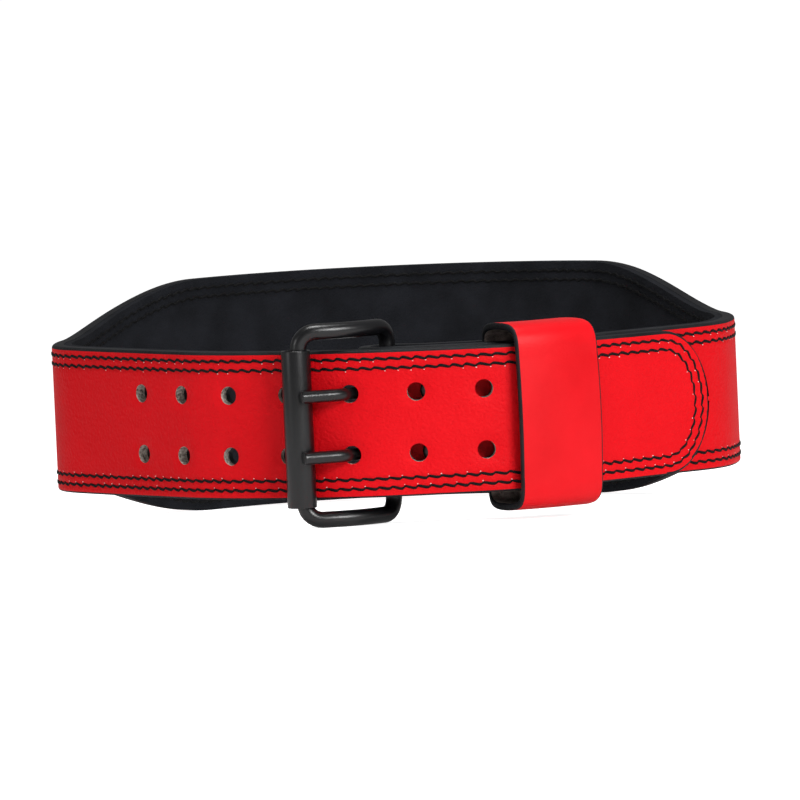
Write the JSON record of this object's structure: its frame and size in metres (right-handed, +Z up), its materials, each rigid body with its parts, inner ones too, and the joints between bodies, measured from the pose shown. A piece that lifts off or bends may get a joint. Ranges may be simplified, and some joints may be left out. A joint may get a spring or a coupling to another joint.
{
  "type": "weightlifting belt",
  "caption": "Stiff leather lifting belt, fastened: wide lined back panel, double-prong roller buckle, keeper loop and a punched tail with a rounded tip.",
  "frame": {"origin": "bottom centre of the bounding box, on the floor the belt stands on", "axes": "+Z up, -Y towards the buckle's side, +X to the right seen from the buckle's side"},
  "size_m": [0.2956, 0.283, 0.1032],
  "materials": {
    "red_leather": "fine smooth grain, soft sheen",
    "black_suede": "napped, matt",
    "black_metal": "satin black"
  },
  "bodies": {
    "root": {"belt_leather": "red_leather", "suede_lining": "black_suede", "buckle_frame": "black_metal", "buckle_roller": "black_metal", "prong_upper": "black_metal", "prong_lower": "black_metal", "keeper": "red_leather", "rivet_1": "black_metal", "rivet_2": "black_metal", "rivet_3": "black_metal", "rivet_4": "black_metal"}
  },
  "joints": []
}
